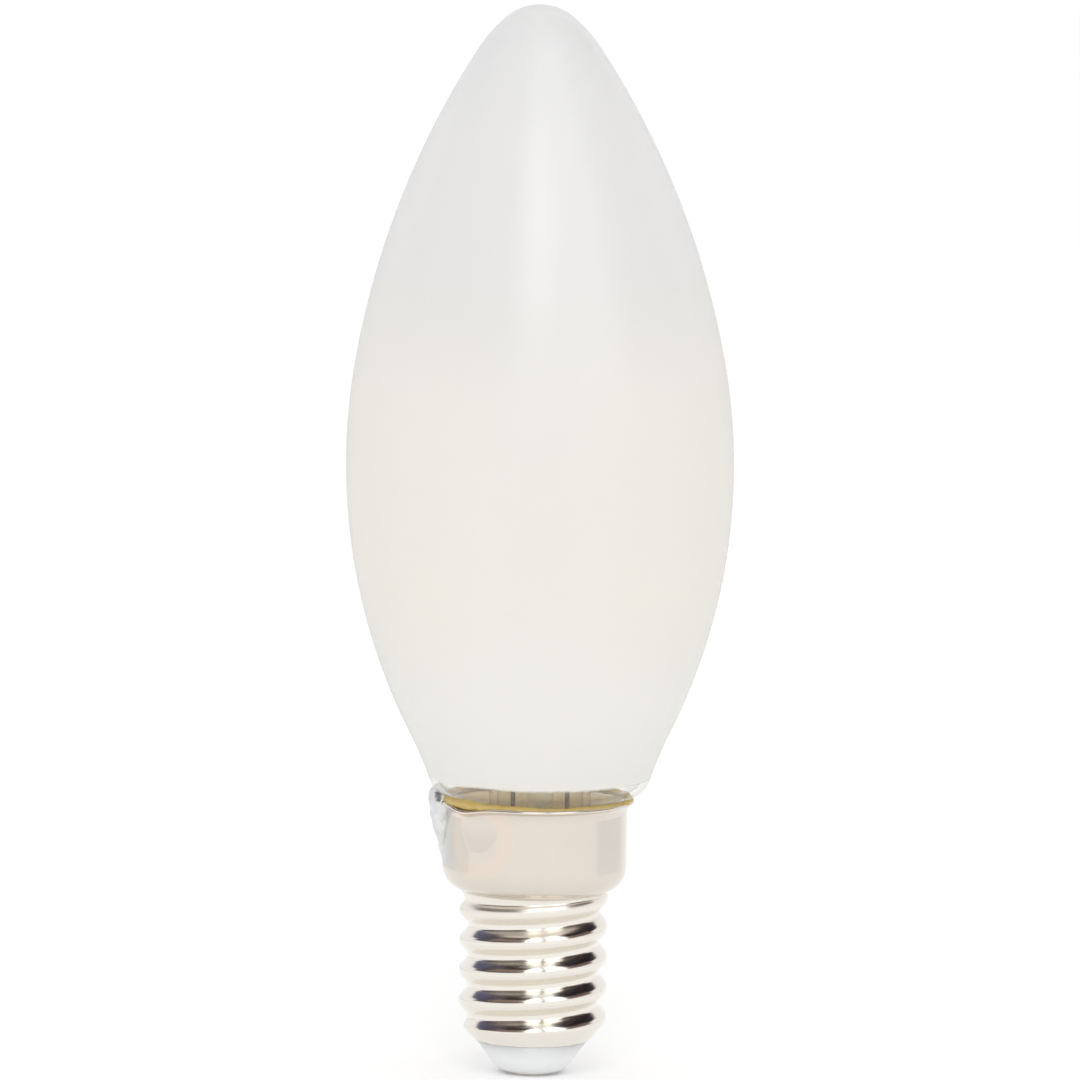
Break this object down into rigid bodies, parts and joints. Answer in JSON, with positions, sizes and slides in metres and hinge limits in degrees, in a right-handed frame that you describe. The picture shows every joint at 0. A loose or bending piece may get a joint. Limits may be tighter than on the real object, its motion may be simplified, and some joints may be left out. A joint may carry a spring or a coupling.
{
  "type": "LED filament candle lamp",
  "caption": "Candle-shaped LED filament lamp with opal glass on a skirted screw cap, with its driver in the cap.",
  "frame": {"origin": "centre of the bottom face of the centre contact", "axes": "+Z along the cap's axis, up to the tip of the bulb; the solder joint on the rim is at -X"},
  "size_m": [0.0357, 0.0356, 0.099],
  "materials": {
    "opal_glass": "opal coating, satin",
    "clear_glass": "clear",
    "nickel_plate": "bright nickel plate",
    "solder": "dull solder",
    "white_insulator": "smooth white",
    "basing_cement": "baked cement",
    "wire_metal": "drawn wire",
    "phosphor": "yellow phosphor",
    "board": "white solder mask",
    "sleeve": "shrunk sleeve",
    "chip_black": "moulded",
    "capacitor_can": "drawn can",
    "resistor_body": "lacquered"
  },
  "bodies": {
    "root": {"anchor_wire_lower": "wire_metal", "anchor_wire_upper": "wire_metal", "basing_cement": "basing_cement", "bridge_rectifier": "chip_black", "cap_shell": "nickel_plate", "centre_contact": "nickel_plate", "cross_wire_left": "wire_metal", "cross_wire_right": "wire_metal", "driver_board": "board", "driver_ic": "chip_black", "driver_sleeve": "sleeve", "exhaust_tube": "clear_glass", "filament_1": "phosphor", "filament_1_foot_tab": "wire_metal", "filament_1_top_tab": "wire_metal", "filament_2": "phosphor", "filament_2_foot_tab": "wire_metal", "filament_2_top_tab": "wire_metal", "filament_3": "phosphor", "filament_3_foot_tab": "wire_metal", "filament_3_top_tab": "wire_metal", "filament_4": "phosphor", "filament_4_foot_tab": "wire_metal", "filament_4_top_tab": "wire_metal", "fuse_lead": "wire_metal", "fusible_resistor": "resistor_body", "glass_envelope": "opal_glass", "inlet_resistor": "chip_black", "insulator": "white_insulator", "lead_in_left": "wire_metal", "lead_in_right": "wire_metal", "lead_solder_left": "solder", "lead_solder_right": "solder", "live_wire": "wire_metal", "neutral_solder": "solder", "neutral_wire": "wire_metal", "rim_solder": "solder", "sense_resistor_1": "chip_black", "sense_resistor_2": "chip_black", "smoothing_capacitor": "capacitor_can", "stem_column": "clear_glass", "stem_flare": "clear_glass"}
  },
  "joints": []
}
